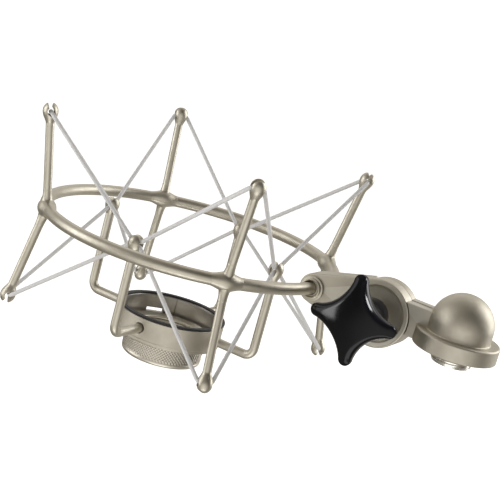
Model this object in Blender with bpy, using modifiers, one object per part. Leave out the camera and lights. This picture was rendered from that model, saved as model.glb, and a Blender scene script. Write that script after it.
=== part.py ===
"""Elastic suspension mount for a large studio microphone.

A stand head carries a swivelling bracket with a round rod ring.  Four forked posts on the ring
hold two elastic cords, and a cradle with a clamping basket hangs inside the ring on those cords.

Lengths below are in millimetres.  +Z runs along the ring's axis, +X points from the ring to the
stand head, and the origin is the mouth of the stand thread.
"""

import math

import bmesh
import bpy
from mathutils import Matrix, Vector

MM = 0.001
GAP = 0.3  # air left between touching pieces

# Ring and posts
RING_RADIUS = 62.0
RING_ROD = 2.5
POST_LEG = 1.75
OUTER_SEAT_RADIUS = 69.4
OUTER_SEAT_HEIGHT = 39.0
SOCKET_LENGTH = 8.0
POSTS = {"head_left": 45, "far_left": 135, "far_right": -135, "head_right": -45}

# Forks that hold the cords
FORK_NECK = 1.75
FORK_BULB = 3.15
FORK_SEAT = 4.7  # from the neck up to the middle of the keyhole
FORK_HEIGHT = 8.3
KEYHOLE = 1.95
INNER_KEYHOLE = 2.15
FORK_SLOT = 1.6

# Elastic cords
CORD = 0.85
CORD_PAIR = 1.0  # the two cords cross an inner fork this far above and below its middle
CORD_STRAIGHT = 1.5
CORD_BEND = 2.0

# Cradle and basket
ARMS = {"head": 0, "left": 90, "far": 180, "right": -90}
INNER_SEAT_RADIUS = 42.0
ARM_ROD = 1.9
ARM_CORNER = 4.0
ARM_LEVEL = -38.5
CUP_RADIUS = 23.2
CUP_WALL = 1.2
CUP_TOP = -34.1
CUP_BOTTOM = -44.4
CUP_FLOOR = 1.8
FLOOR_HOLE = 15.5
NUT_RADIUS = 17.4
NUT_BORE = 13.5
RETAINER_RADIUS = 18.6
NUT_BOTTOM = -54.0
WINDOW_BEARING = 140
SPLIT_BEARING = 116

# Swivel bracket and knob
SWIVEL_X = 90.6
PLATE_HALF = 5.5
BOSS_RADIUS = 6.0
DISC_RADIUS = 13.5
LAP_FACE = 0.7  # rear face of the bracket's half of the joint
DISH_RADIUS = 10.8
BOLT_RADIUS = 3.0
WASHER_RADIUS = 8.7
KNOB_FRONT = -31.0
KNOB_BACK = -23.0
HUB_BACK = -8.5
HUB_RADIUS = 6.8
LOBE_REACH = 15.2
LOBE_END = 2.5
VALLEY = 10.0
KNOB_TURN = 4.6

# Stand head
HEAD_X = 123.0
DOME_RADIUS = 12.4
DOME_CENTRE = 6.9
FLANGE_RADIUS = 16.5
FLANGE_TOP = 2.5
FLANGE_BOTTOM = -3.8
TONGUE_TOP = 8.9
THREAD_RADIUS = 8.0
THREAD_BORE = 4.8
THREAD_MOUTH = -8.6

RING_CENTRE = Vector((-HEAD_X, 0, -THREAD_MOUTH)) * MM

for old in list(bpy.data.objects):
    bpy.data.objects.remove(old)


def collection(name):
    made = bpy.data.collections.new(name)
    bpy.context.scene.collection.children.link(made)
    return made


PART = collection("microphone_suspension_mount")
CUTTERS = collection("cutters")
CUTTERS.hide_render = True


def material(name, colour, roughness, metallic):
    made = bpy.data.materials.new(name)
    made.use_nodes = True
    shader = made.node_tree.nodes["Principled BSDF"]
    shader.inputs["Base Color"].default_value = (*colour, 1)
    shader.inputs["Roughness"].default_value = roughness
    shader.inputs["Metallic"].default_value = metallic
    return made


NICKEL = material("satin_nickel", (0.60, 0.56, 0.47), 0.32, 1.0)
STEEL = material("bright_steel", (0.62, 0.61, 0.58), 0.25, 1.0)
PLASTIC = material("black_plastic", (0.012, 0.012, 0.013), 0.22, 0.0)
RUBBER = material("black_rubber", (0.015, 0.014, 0.015), 0.6, 0.0)
LINING = material("grey_lining", (0.47, 0.45, 0.42), 0.4, 0.0)
CORD_WHITE = material("white_braid", (0.78, 0.78, 0.80), 0.8, 0.0)


def finish(obj, name, look=None, cutter=False):
    """Names the object, files it in its collection and shades it."""
    obj.name = obj.data.name = name
    for home in list(obj.users_collection):
        home.objects.unlink(obj)
    (CUTTERS if cutter else PART).objects.link(obj)
    if cutter:
        obj.hide_render = True
        obj.display_type = "WIRE"
    if look:
        obj.data.materials.clear()
        obj.data.materials.append(look)
    if obj.type == "MESH":
        obj.data.shade_smooth()
        obj.data.set_sharp_from_angle(angle=math.radians(35))
    return obj


def from_bmesh(name, bm, look=None, cutter=False):
    mesh = bpy.data.meshes.new(name)
    bm.to_mesh(mesh)
    bm.free()
    return finish(bpy.data.objects.new(name, mesh), name, look, cutter)


def frame(x, y, z, bearing=0.0, lean=0.0):
    """A place given from the ring's centre: turned to a bearing, then leant outwards from +Z."""
    spot = Matrix.Translation(RING_CENTRE + Vector((x, y, z)) * MM)
    turn = Matrix.Rotation(math.radians(bearing), 4, "Z")
    return spot @ turn @ Matrix.Rotation(math.radians(lean), 4, "Y")


def facing_front(x, y, z=0.0):
    """A place whose +Z points to -Y, for pieces turned about the swivel's axis."""
    return frame(x, y, z) @ Matrix.Rotation(math.radians(90), 4, "X")


def cylinder(name, radius, low, high, place, look=None, cutter=False, sides=32, bevel=0.0):
    bm = bmesh.new()
    bmesh.ops.create_cone(
        bm, cap_ends=True, segments=sides, radius1=radius * MM, radius2=radius * MM,
        depth=(high - low) * MM, matrix=Matrix.Translation((0, 0, (low + high) / 2 * MM)),
    )
    obj = from_bmesh(name, bm, look, cutter)
    obj.matrix_world = place
    if bevel:
        round_edges(obj, bevel)
    return obj


def box(name, low, high, place, look=None, cutter=False):
    bm = bmesh.new()
    size = [(b - a) * MM for a, b in zip(low, high)]
    middle = Vector([(a + b) / 2 * MM for a, b in zip(low, high)])
    bmesh.ops.create_cube(bm, size=1, matrix=Matrix.Translation(middle) @ Matrix.Diagonal((*size, 1)))
    obj = from_bmesh(name, bm, look, cutter)
    obj.matrix_world = place
    return obj


def round_edges(obj, width, segments=1):
    bevel = obj.modifiers.new("rounded_edges", "BEVEL")
    bevel.width = width * MM
    bevel.segments = segments
    bevel.limit_method = "ANGLE"
    bevel.angle_limit = math.radians(50)
    bevel.use_clamp_overlap = True


def turned(name, profile, place, look=None, cutter=False, steps=32):
    """A turned piece: profile holds (radius, height) pairs down the outer side."""
    mesh = bpy.data.meshes.new(name)
    closed = profile[0][0] > 0 and profile[-1][0] > 0
    points = [(radius * MM, 0, height * MM) for radius, height in profile]
    edges = [(i, i + 1) for i in range(len(points) - 1)]
    if closed:
        edges.append((len(points) - 1, 0))
    mesh.from_pydata(points, edges, [])
    obj = finish(bpy.data.objects.new(name, mesh), name, look, cutter)
    obj.matrix_world = place
    screw = obj.modifiers.new("turning", "SCREW")
    screw.steps = screw.render_steps = steps
    screw.use_merge_vertices = True
    screw.merge_threshold = 0.00001
    screw.use_smooth_shade = True
    return obj


def tube(name, points, radius, look=None, cutter=False, cyclic=False, resolution=2):
    """A round rod along world points in metres."""
    curve = bpy.data.curves.new(name, "CURVE")
    curve.dimensions = "3D"
    curve.bevel_depth = radius * MM
    curve.bevel_resolution = resolution
    curve.use_fill_caps = not cyclic
    spline = curve.splines.new("POLY")
    spline.points.add(len(points) - 1)
    for slot, point in zip(spline.points, points):
        slot.co = (*point, 1)
    spline.use_cyclic_u = cyclic
    return finish(bpy.data.objects.new(name, curve), name, look, cutter)


def as_mesh(obj, look=None, cutter=False):
    """The object's evaluated shape as a plain mesh object, in place of the object."""
    bpy.context.view_layer.update()
    name = obj.name
    evaluated = obj.evaluated_get(bpy.context.evaluated_depsgraph_get())
    mesh = bpy.data.meshes.new_from_object(evaluated)
    place = obj.matrix_world.copy()
    bpy.data.objects.remove(obj)
    bm = bmesh.new()
    bm.from_mesh(mesh)
    bmesh.ops.remove_doubles(bm, verts=bm.verts, dist=0.000001)
    bmesh.ops.recalc_face_normals(bm, faces=bm.faces)
    bm.to_mesh(mesh)
    bm.free()
    made = finish(bpy.data.objects.new(name, mesh), name, look, cutter)
    made.matrix_world = place
    return made


def cut(obj, *others, operation="DIFFERENCE"):
    for other in others:
        boolean = obj.modifiers.new(operation.lower(), "BOOLEAN")
        boolean.operation = operation
        boolean.solver = "EXACT"
        boolean.object = other


def flat_plate(name, outline, thickness, place, look=None, cutter=False):
    """A plate from a closed outline in its own X and Y, centred on its own Z."""
    curve = bpy.data.curves.new(name, "CURVE")
    curve.dimensions = "2D"
    curve.fill_mode = "BOTH"
    curve.extrude = thickness / 2 * MM
    spline = curve.splines.new("POLY")
    spline.points.add(len(outline) - 1)
    for slot, (x, y) in zip(spline.points, outline):
        slot.co = (x * MM, y * MM, 0, 1)
    spline.use_cyclic_u = True
    obj = finish(bpy.data.objects.new(name, curve), name, look, cutter)
    obj.matrix_world = place
    return as_mesh(obj, look, cutter)


def arc(centre_x, centre_y, radius, start, end, count):
    """Points on an arc, angles in degrees, both ends included."""
    for i in range(count):
        angle = math.radians(start + (end - start) * i / (count - 1))
        yield centre_x + radius * math.cos(angle), centre_y + radius * math.sin(angle)


# ---------------------------------------------------------------- cords

LEAN = math.degrees(math.atan2(OUTER_SEAT_RADIUS - RING_RADIUS, OUTER_SEAT_HEIGHT))
SEAT_DISTANCE = math.hypot(OUTER_SEAT_RADIUS - RING_RADIUS, OUTER_SEAT_HEIGHT)


def around(radius, height, bearing):
    """A point at a bearing round the ring's axis, in millimetres from the ring's centre."""
    angle = math.radians(bearing)
    return Vector((radius * math.cos(angle), radius * math.sin(angle), height))


def sideways(bearing):
    """The direction of growing bearing."""
    angle = math.radians(bearing)
    return Vector((-math.sin(angle), math.cos(angle), 0))


def bend(seat, side, pull, count):
    """The cord from the middle of a fork out along side, then bent round to the direction pull."""
    turn = side.angle(pull)
    inward = (pull - side * pull.dot(side)).normalized()
    start = seat + side * CORD_STRAIGHT
    points = []
    for i in range(count + 1):
        part = turn * i / count
        points.append(start + (side * math.sin(part) + inward * (1 - math.cos(part))) * CORD_BEND)
    return points


def strand(outer_bearing, inner_bearing, up):
    """The cord's bends at an outer and an inner fork, with one straight run between them."""
    outer_seat = around(OUTER_SEAT_RADIUS - 0.4, up * (OUTER_SEAT_HEIGHT - 0.4), outer_bearing)
    inner_seat = around(INNER_SEAT_RADIUS, up * CORD_PAIR, inner_bearing)
    step = (inner_bearing - outer_bearing + 180) % 360 - 180
    outer_side = sideways(outer_bearing) * math.copysign(1, step)
    inner_side = sideways(inner_bearing) * -math.copysign(1, step)
    outer_end, inner_end = outer_seat, inner_seat
    for _ in range(8):
        pull = (inner_end - outer_end).normalized()
        outer_bend = bend(outer_seat, outer_side, pull, 4)
        inner_bend = bend(inner_seat, inner_side, -pull, 3)
        outer_end, inner_end = outer_bend[-1], inner_bend[-1]
    return outer_bend, inner_bend


def cord_loop(up):
    """The whole zigzag of one cord, from the ring's centre, in millimetres."""
    points = []
    for bearing in POSTS.values():
        before_outer, before_inner = strand(bearing, bearing - 45, up)
        after_outer, after_inner = strand(bearing, bearing + 45, up)
        points += before_inner + before_outer[::-1] + after_outer + after_inner[::-1]
    return points


def in_row(points):
    return [RING_CENTRE + point * MM for point in points]


for level, up in (("upper", 1), ("lower", -1)):
    tube(f"cord_{level}", in_row(cord_loop(up)), CORD, CORD_WHITE, cyclic=True)


# ---------------------------------------------------------------- forks

FORK_PROFILE = [(0, FORK_HEIGHT)] + [
    (
        FORK_BULB * math.sin(math.radians(a)),
        FORK_SEAT + (FORK_HEIGHT - FORK_SEAT) * math.cos(math.radians(a)),
    )
    for a in (30, 60, 90)
] + [
    (FORK_BULB * 0.86, FORK_SEAT * 0.52),
    (FORK_NECK * 1.13, FORK_SEAT * 0.16),
    (FORK_NECK, 0),
    (0, 0),
]


def fork(name, place, keyhole, steps, runs):
    """An acorn-shaped tip: a keyhole across it, a slot up from the keyhole, and room for the cords."""
    obj = turned(name, FORK_PROFILE, place, NICKEL, steps=steps)
    across = place @ Matrix.Translation((0, 0, FORK_SEAT * MM)) @ Matrix.Rotation(math.radians(90), 4, "X")
    hole = cylinder(f"{name}_keyhole", keyhole, -5, 5, across, cutter=True, sides=14)
    half = FORK_SLOT / 2
    slot = box(f"{name}_slot", (-half, -5, FORK_SEAT), (half, 5, FORK_HEIGHT + 2), place, cutter=True)
    cut(obj, hole, slot)
    for i, run in enumerate(runs):
        relief = tube(f"{name}_relief_{i}", in_row(run), CORD + GAP, cutter=True, resolution=1)
        cut(obj, as_mesh(relief, cutter=True))
    return as_mesh(obj, NICKEL)


def clip_run(bends):
    """The cord's run through one fork: both bends and a short straight end on each."""
    first, last = bends
    first_end = first[-1] + (first[-1] - first[-2]).normalized() * 4
    last_end = last[-1] + (last[-1] - last[-2]).normalized() * 4
    return [first_end] + first[::-1] + last + [last_end]


def post_frame(bearing, up, distance):
    """A place on a post's leg, at a distance from the ring's centre line, with +Z along the leg."""
    spot = around(RING_RADIUS, 0, bearing)
    lean = LEAN if up > 0 else 180 - LEAN
    along = frame(spot.x, spot.y, spot.z, bearing, lean) @ Matrix.Translation((0, 0, distance * MM))
    return along if up > 0 else along @ Matrix.Rotation(math.pi, 4, "Z")


def copy_of(obj, name, place):
    made = finish(bpy.data.objects.new(name, obj.data), name, NICKEL)
    made.matrix_world = place
    return made


pattern = None
for post, bearing in POSTS.items():
    for level, up in (("upper", 1), ("lower", -1)):
        place = post_frame(bearing, up, SEAT_DISTANCE - FORK_SEAT)
        if pattern is None:
            bends = [strand(bearing, bearing + turn, up)[0] for turn in (-45, 45)]
            pattern = fork(f"fork_{level}_{post}", place, KEYHOLE, 12, [clip_run(bends)])
        else:
            copy_of(pattern, f"fork_{level}_{post}", place)

pattern = None
for arm, bearing in ARMS.items():
    place = frame(*around(INNER_SEAT_RADIUS, -FORK_SEAT, bearing), bearing)
    if pattern is None:
        runs = [
            clip_run((strand(bearing - 45, bearing, up)[1], strand(bearing + 45, bearing, up)[1]))
            for up in (1, -1)
        ]
        pattern = fork(f"fork_inner_{arm}", place, INNER_KEYHOLE, 14, runs)
    else:
        copy_of(pattern, f"fork_inner_{arm}", place)


# ---------------------------------------------------------------- ring and posts


def torus(name, rod, look=None, cutter=False):
    bpy.ops.mesh.primitive_torus_add(
        major_segments=56, minor_segments=10, major_radius=RING_RADIUS * MM, minor_radius=rod * MM
    )
    obj = finish(bpy.context.object, name, look, cutter)
    obj.matrix_world = frame(0, 0, 0)
    return obj


torus("outer_ring", RING_ROD, NICKEL)
ring_room = torus("ring_room", RING_ROD + GAP, cutter=True)

SLEEVE = [(0, 6.2), (3.4, 6.2), (4.1, 2.4), (4.3, 0), (4.1, -2.4), (3.4, -6.2), (0, -6.2)]
SOCKET = [
    (0, SOCKET_LENGTH),
    (POST_LEG + 0.25, SOCKET_LENGTH),
    (POST_LEG + 0.8, 5.2),
    (POST_LEG + 1.9, 2.6),
    (0, 0.2),
]

hub_pattern = None
for post, bearing in POSTS.items():
    place = frame(*around(RING_RADIUS, 0, bearing), bearing)
    if hub_pattern is None:
        hub_pattern = turned(
            f"hub_{post}", SLEEVE, place @ Matrix.Rotation(math.radians(90), 4, "X"), NICKEL, steps=12
        )
        for up in (1, -1):
            socket = turned(
                f"hub_socket_{'upper' if up > 0 else 'lower'}", SOCKET, post_frame(bearing, up, 0),
                cutter=True, steps=12,
            )
            cut(hub_pattern, socket, operation="UNION")
        cut(hub_pattern, ring_room)
        hub_pattern = as_mesh(hub_pattern, NICKEL)
        first_place = hub_pattern.matrix_world.copy()
    else:
        turn = Matrix.Rotation(math.radians(bearing - POSTS["head_left"]), 4, "Z")
        about_ring = Matrix.Translation(RING_CENTRE) @ turn @ Matrix.Translation(-RING_CENTRE)
        copy_of(hub_pattern, f"hub_{post}", about_ring @ first_place)
    for level, up in (("upper", 1), ("lower", -1)):
        cylinder(
            f"leg_{level}_{post}", POST_LEG, SOCKET_LENGTH + GAP, SEAT_DISTANCE - FORK_SEAT - GAP,
            post_frame(bearing, up, 0), NICKEL, sides=14,
        )


# ---------------------------------------------------------------- cradle

for arm, bearing in ARMS.items():
    corner = INNER_SEAT_RADIUS - ARM_CORNER
    route = [(CUP_RADIUS + GAP, ARM_LEVEL)]
    route += list(arc(corner, ARM_LEVEL + ARM_CORNER, ARM_CORNER, -90, 0, 7))
    route += [(INNER_SEAT_RADIUS, -FORK_SEAT - GAP)]
    tube(f"arm_{arm}", in_row([around(r, h, bearing) for r, h in route]), ARM_ROD, NICKEL, resolution=3)

centre = frame(0, 0, 0)
cup_inner = CUP_RADIUS - CUP_WALL
liner_inner = cup_inner - GAP - 0.6
cup = turned(
    "basket_cup",
    [
        (CUP_RADIUS, CUP_TOP), (CUP_RADIUS, CUP_BOTTOM + 0.5), (CUP_RADIUS - 0.5, CUP_BOTTOM),
        (FLOOR_HOLE, CUP_BOTTOM), (FLOOR_HOLE, CUP_BOTTOM + CUP_FLOOR), (cup_inner, CUP_BOTTOM + CUP_FLOOR),
        (cup_inner, CUP_TOP),
    ],
    centre, NICKEL, steps=36,
)
liner = turned(
    "basket_liner",
    [
        (cup_inner - GAP, CUP_TOP), (cup_inner - GAP, CUP_BOTTOM + CUP_FLOOR + GAP),
        (liner_inner, CUP_BOTTOM + CUP_FLOOR + GAP), (liner_inner, CUP_TOP),
    ],
    centre, LINING, steps=36,
)
turned(
    "basket_rim",
    [
        (CUP_RADIUS - 0.15, CUP_TOP + 1.0),
        (CUP_RADIUS + 0.15, CUP_TOP + 0.75),
        (CUP_RADIUS + 0.15, CUP_TOP + GAP),
        (liner_inner - 0.1, CUP_TOP + GAP),
        (liner_inner - 0.1, CUP_TOP + 0.75),
        (liner_inner + 0.2, CUP_TOP + 1.0),
    ],
    centre, RUBBER, steps=36,
)
floor_top = CUP_BOTTOM + CUP_FLOOR
window = box(
    "rear_window", (15, -4, floor_top + 0.6), (30, 4, floor_top + 3.2),
    centre @ Matrix.Rotation(math.radians(WINDOW_BEARING), 4, "Z"), cutter=True,
)
split = box(
    "liner_split", (15, -0.3, floor_top - 1), (cup_inner - 0.1, 0.3, CUP_TOP + 0.1),
    centre @ Matrix.Rotation(math.radians(SPLIT_BEARING), 4, "Z"), cutter=True,
)
cut(cup, window)
cut(liner, window, split)

neck = FLOOR_HOLE - GAP
turned(
    "ring_nut",
    [
        (neck, floor_top), (neck, CUP_BOTTOM - GAP), (NUT_RADIUS - 0.4, CUP_BOTTOM - GAP),
        (NUT_RADIUS, CUP_BOTTOM - GAP - 0.4), (NUT_RADIUS, NUT_BOTTOM + 1.4),
        (NUT_RADIUS - 1.4, NUT_BOTTOM), (NUT_BORE, NUT_BOTTOM), (NUT_BORE, floor_top),
    ],
    centre, NICKEL, steps=36,
)
turned(
    "nut_retainer",
    [
        (RETAINER_RADIUS, floor_top + 1.4), (RETAINER_RADIUS, floor_top + GAP),
        (NUT_BORE, floor_top + GAP), (NUT_BORE, floor_top + 1.4),
    ],
    centre, NICKEL, steps=36,
)


# ---------------------------------------------------------------- swivel bracket


def link_outline():
    """The outer tangent outline of the boss and the disc, with the boss at the origin."""
    spacing = SWIVEL_X - RING_RADIUS
    flare = math.degrees(math.asin((DISC_RADIUS - BOSS_RADIUS) / spacing))
    outline = list(arc(0, 0, BOSS_RADIUS, 90 + flare, 270 - flare, 13))
    outline += list(arc(spacing, 0, DISC_RADIUS, -90 - flare, 90 + flare, 25))
    return outline


swivel = facing_front(SWIVEL_X, 0)
ring_side = facing_front(RING_RADIUS, 0)
bracket = flat_plate("swivel_bracket", link_outline(), 2 * PLATE_HALF, ring_side, NICKEL)
round_edges(bracket, 0.5)
lap_room = cylinder(
    "bracket_lap_room", DISC_RADIUS + 0.4, -PLATE_HALF - 2, -LAP_FACE, swivel, cutter=True, sides=48
)
dish_depth = 1.8
dish_profile = [(0, PLATE_HALF + 2), (DISH_RADIUS, PLATE_HALF + 2), (DISH_RADIUS, PLATE_HALF - 0.5)]
for a in (30, 60):
    down = 0.5 + (dish_depth - 0.5) * math.sin(math.radians(a))
    dish_profile.append((DISH_RADIUS * math.cos(math.radians(a)), PLATE_HALF - down))
dish_profile.append((0, PLATE_HALF - dish_depth))
dish = turned("dish_cutter", dish_profile, swivel, cutter=True, steps=32)
bolt_room = cylinder("bolt_room", BOLT_RADIUS + GAP, -20, 20, swivel, cutter=True, sides=24)
cut(bracket, lap_room, dish, bolt_room, ring_room)

for side, sign in (("front", 1), ("rear", -1)):
    face = PLATE_HALF + GAP
    place = ring_side if sign > 0 else ring_side @ Matrix.Rotation(math.pi, 4, "X")
    collet = turned(
        f"ring_collet_{side}",
        [
            (0, face + 1.9), (3.9, face + 1.9), (4.2, face + 1.6), (4.2, face + 0.9),
            (5.0, face + 0.7), (5.0, face), (0, face),
        ],
        place, NICKEL, steps=24,
    )
    cut(collet, ring_room)

pocket = LAP_FACE + GAP + 1.2
bolt_hole = BOLT_RADIUS + GAP
turned(
    "friction_washer",
    [
        (WASHER_RADIUS, -LAP_FACE - GAP), (WASHER_RADIUS, GAP - pocket),
        (bolt_hole, GAP - pocket), (bolt_hole, -LAP_FACE - GAP),
    ],
    swivel, STEEL, steps=32,
)
turned(
    "knob_spacer",
    [
        (4.0, -HUB_BACK - GAP), (4.0, PLATE_HALF - dish_depth + GAP),
        (bolt_hole, PLATE_HALF - dish_depth + GAP), (bolt_hole, -HUB_BACK - GAP),
    ],
    swivel, NICKEL, steps=24,
)
bolt_tip = -KNOB_BACK - 2.5
turned(
    "clamp_bolt",
    [
        (0, bolt_tip), (BOLT_RADIUS - 0.5, bolt_tip), (BOLT_RADIUS, bolt_tip - 0.5),
        (BOLT_RADIUS, -PLATE_HALF - GAP), (6.2, -PLATE_HALF - GAP), (6.2, -PLATE_HALF - 1.6),
        (5.6, -PLATE_HALF - 2.8), (3.6, -PLATE_HALF - 3.8), (0, -PLATE_HALF - 4.2),
    ],
    swivel, STEEL, steps=24,
)


def star_outline():
    """Four round lobe ends joined by hollow arcs that touch them."""
    half = LOBE_REACH / math.sqrt(2)
    # A hollow arc's centre lies on the diagonal between two lobes, where the arc touches both ends.
    inside = VALLEY - LOBE_END
    far = (LOBE_REACH**2 - inside**2) / (2 * (half - inside))
    hollow = far - VALLEY
    touch = math.degrees(math.atan2(far / math.sqrt(2), far / math.sqrt(2) - LOBE_REACH))
    outline = []
    for quarter in range(4):
        turn = 90 * quarter + KNOB_TURN
        lobe = Vector((LOBE_REACH, 0)).to_3d()
        lobe.rotate(Matrix.Rotation(math.radians(turn), 3, "Z"))
        outline += list(arc(lobe.x, lobe.y, LOBE_END, turn - touch, turn + touch, 8))
        middle = Vector((far, 0)).to_3d()
        middle.rotate(Matrix.Rotation(math.radians(turn + 45), 3, "Z"))
        back = turn + 45 + 180
        spread = touch - 45
        outline += list(arc(middle.x, middle.y, hollow, back + spread, back - spread, 9))[1:-1]
    return outline


star_middle = facing_front(SWIVEL_X, (KNOB_FRONT + KNOB_BACK) / 2)
knob = flat_plate("clamp_knob", star_outline(), KNOB_BACK - KNOB_FRONT, star_middle, PLASTIC)
round_edges(knob, 1.6, 2)
hub = cylinder("knob_hub", HUB_RADIUS, -HUB_BACK, -KNOB_BACK + 2, swivel, cutter=True, sides=32)
hub_bore = cylinder("knob_bore", bolt_hole, 0, -KNOB_BACK - 2, swivel, cutter=True, sides=24)
cut(knob, hub, operation="UNION")
cut(knob, hub_bore)


# ---------------------------------------------------------------- stand head

head = cylinder(
    "stand_head", DISC_RADIUS, -PLATE_HALF, -LAP_FACE - GAP, swivel, NICKEL, sides=48, bevel=0.4
)
tongue = box(
    "tongue", (SWIVEL_X, -PLATE_HALF, FLANGE_BOTTOM), (HEAD_X - 4, PLATE_HALF, TONGUE_TOP),
    centre, cutter=True,
)
head_lap = cylinder(
    "head_lap_room", DISC_RADIUS + 0.4, -LAP_FACE - GAP, PLATE_HALF + 2, swivel, cutter=True, sides=48
)
cut(tongue, head_lap)
top = FLANGE_TOP
dome_profile = [(0, DOME_CENTRE + DOME_RADIUS)]
dome_profile += [
    (DOME_RADIUS * math.sin(math.radians(a)), DOME_CENTRE + DOME_RADIUS * math.cos(math.radians(a)))
    for a in (18, 36, 54, 72, 90)
]
dome_profile += [
    (DOME_RADIUS, top + 0.8), (DOME_RADIUS + 0.8, top),
    (FLANGE_RADIUS - 0.6, top), (FLANGE_RADIUS, top - 0.6),
    (FLANGE_RADIUS, FLANGE_BOTTOM + 0.5), (FLANGE_RADIUS - 0.5, FLANGE_BOTTOM), (0, FLANGE_BOTTOM),
]
dome = turned("dome", dome_profile, frame(HEAD_X, 0, 0), cutter=True, steps=32)
slot = box(
    "tongue_slot",
    (SWIVEL_X + 10, -0.6, 5.2), (HEAD_X - DOME_RADIUS - 0.5, 0.6, TONGUE_TOP + 1),
    centre, cutter=True,
)
washer_room = cylinder("washer_room", WASHER_RADIUS + GAP, -pocket, 0, swivel, cutter=True, sides=32)
stand_axis = frame(HEAD_X, 0, 0)
thread_room = cylinder("thread_room", THREAD_RADIUS + GAP, -15, 7, stand_axis, cutter=True, sides=32)
cut(head, tongue, dome, operation="UNION")
cut(head, slot, washer_room, bolt_room, thread_room)

adapter = turned(
    "thread_adapter",
    [
        (THREAD_RADIUS - 0.5, 6.4), (THREAD_RADIUS, 5.9), (THREAD_RADIUS, THREAD_MOUTH + 0.6),
        (THREAD_RADIUS - 0.6, THREAD_MOUTH), (THREAD_BORE + 0.6, THREAD_MOUTH),
        (THREAD_BORE, THREAD_MOUTH + 0.6), (THREAD_BORE, 6.4),
    ],
    stand_axis, STEEL, steps=32,
)
key_slot = box(
    "adapter_slot", (-10, -0.9, THREAD_MOUTH - 1), (10, 0.9, THREAD_MOUTH + 1.8), stand_axis, cutter=True
)
cut(adapter, key_slot)
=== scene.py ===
"""Looks for the elastic suspension mount: each CAD node gets a finer piece and a finished material.

Lengths are in millimetres from the ring's centre until a piece is made, where they become metres in
the part's own frame.  +Z runs along the ring's axis and +X points from the ring to the stand head.
"""

import math

import bmesh
import bpy
from mathutils import Matrix, Vector


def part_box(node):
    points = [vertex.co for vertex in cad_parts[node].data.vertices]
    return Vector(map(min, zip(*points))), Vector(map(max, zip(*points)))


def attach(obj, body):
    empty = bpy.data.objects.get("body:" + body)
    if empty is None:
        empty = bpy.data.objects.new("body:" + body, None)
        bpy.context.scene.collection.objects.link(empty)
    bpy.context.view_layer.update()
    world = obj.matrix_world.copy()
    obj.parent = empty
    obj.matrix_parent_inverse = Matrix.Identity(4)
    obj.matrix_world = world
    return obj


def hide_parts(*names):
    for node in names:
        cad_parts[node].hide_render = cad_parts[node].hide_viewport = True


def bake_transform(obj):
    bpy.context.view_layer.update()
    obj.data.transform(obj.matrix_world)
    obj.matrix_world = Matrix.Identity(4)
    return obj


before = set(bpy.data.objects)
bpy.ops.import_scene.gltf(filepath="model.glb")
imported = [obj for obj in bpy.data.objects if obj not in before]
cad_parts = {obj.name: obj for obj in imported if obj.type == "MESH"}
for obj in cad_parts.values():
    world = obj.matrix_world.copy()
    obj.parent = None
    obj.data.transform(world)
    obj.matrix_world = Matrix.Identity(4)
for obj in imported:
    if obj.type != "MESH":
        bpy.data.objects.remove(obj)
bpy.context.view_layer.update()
scene = bpy.context.scene

MM = 0.001
GAP = 0.3
ring_low, ring_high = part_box("outer_ring")
CENTRE = (ring_low + ring_high) / 2

# Ring, posts and forks
RING = 62.0
ROD = 2.5
LEG = 1.75
OUTER_SEAT = (69.4, 39.0)
POSTS = {"head_left": 45, "far_left": 135, "far_right": -135, "head_right": -45}
FORK_NECK, FORK_BULB, FORK_SEAT, FORK_TOP = 1.75, 3.15, 4.7, 8.3
KEYHOLE, INNER_KEYHOLE, FORK_SLOT, FORK_FLARE, FORK_FOOT = 1.47, 1.6, 1.5, 2.5, -0.28
FORK_VOXEL, HUB_VOXEL, HUB_SWELL = 0.11, 0.17, 1.35

# Cords
CORD = 0.85
CORD_PAIR, CORD_STRAIGHT, CORD_BEND = 1.0, 1.5, 2.0
CORD_STEP, BRAID_TURN, BRAID_RIB, CORD_ROOM = 0.36, 3.2, 0.03, 0.25
BRAID_THREADS, BRAID_PITCH = 8, 0.7

# Cradle and basket
ARMS = {"head": 0, "left": 90, "far": 180, "right": -90}
INNER_SEAT = 42.0
ARM, ARM_CORNER, ARM_LEVEL = 1.9, 4.0, -38.5
CUP, CUP_IN, CUP_TOP, CUP_BOTTOM, FLOOR = 23.2, 22.0, -34.1, -44.4, -42.6
LINER_IN = 21.1
FLOOR_HOLE, NUT, NUT_BORE, NUT_BOTTOM, NUT_NECK, RETAINER = 15.5, 17.4, 13.5, -54.0, 15.2, 18.6
KNURLS, KNURL_DEPTH = 80, 0.5
WINDOW, SPLIT = 140, 116

# Bracket, knob and head
SWIVEL = 90.6
PLATE, BOSS, DISC, LAP = 5.5, 6.0, 13.5, 0.7
DISH, DISH_DEPTH, BOLT, BOLT_HEAD, WASHER, WASHER_SEAT, SPACER = 10.8, 1.8, 3.0, 6.2, 8.7, 9.0, 4.0
COLLET_MOUTH, COLLET_LIP, COLLET_STEP, COLLET = 2.9, 3.5, 4.2, 5.0
STAR_FRONT, STAR_BACK, HUB_BACK, HUB = 31.0, 23.0, 8.5, 6.8
LOBE_REACH, LOBE_END, VALLEY, KNOB_TURN = 15.2, 2.5, 10.0, 4.6
KNOB_EDGE, KNOB_RISE, KNOB_DOME, KNOB_VOXEL = 2.3, 3.4, 3.2, 0.30
HEAD = 123.0
DOME, DOME_CENTRE, FLANGE, FLANGE_TOP, FLANGE_BOTTOM = 12.4, 6.9, 16.5, 2.5, -3.8
TONGUE_TOP = 8.9
SLEEVE, SLEEVE_BORE, SLEEVE_MOUTH = 8.0, 4.8, -8.6
OUTSIDE_PITCH, OUTSIDE_DEPTH, INSIDE_PITCH, INSIDE_DEPTH = 0.94, 0.22, 1.59, 0.4

# Stage
STAGE_FLOOR, STAGE_RADIUS, STAGE_CURVE, STAGE_TOP = -150, 900, 500, 1800


# ---------------------------------------------------------------- places and curves


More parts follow.
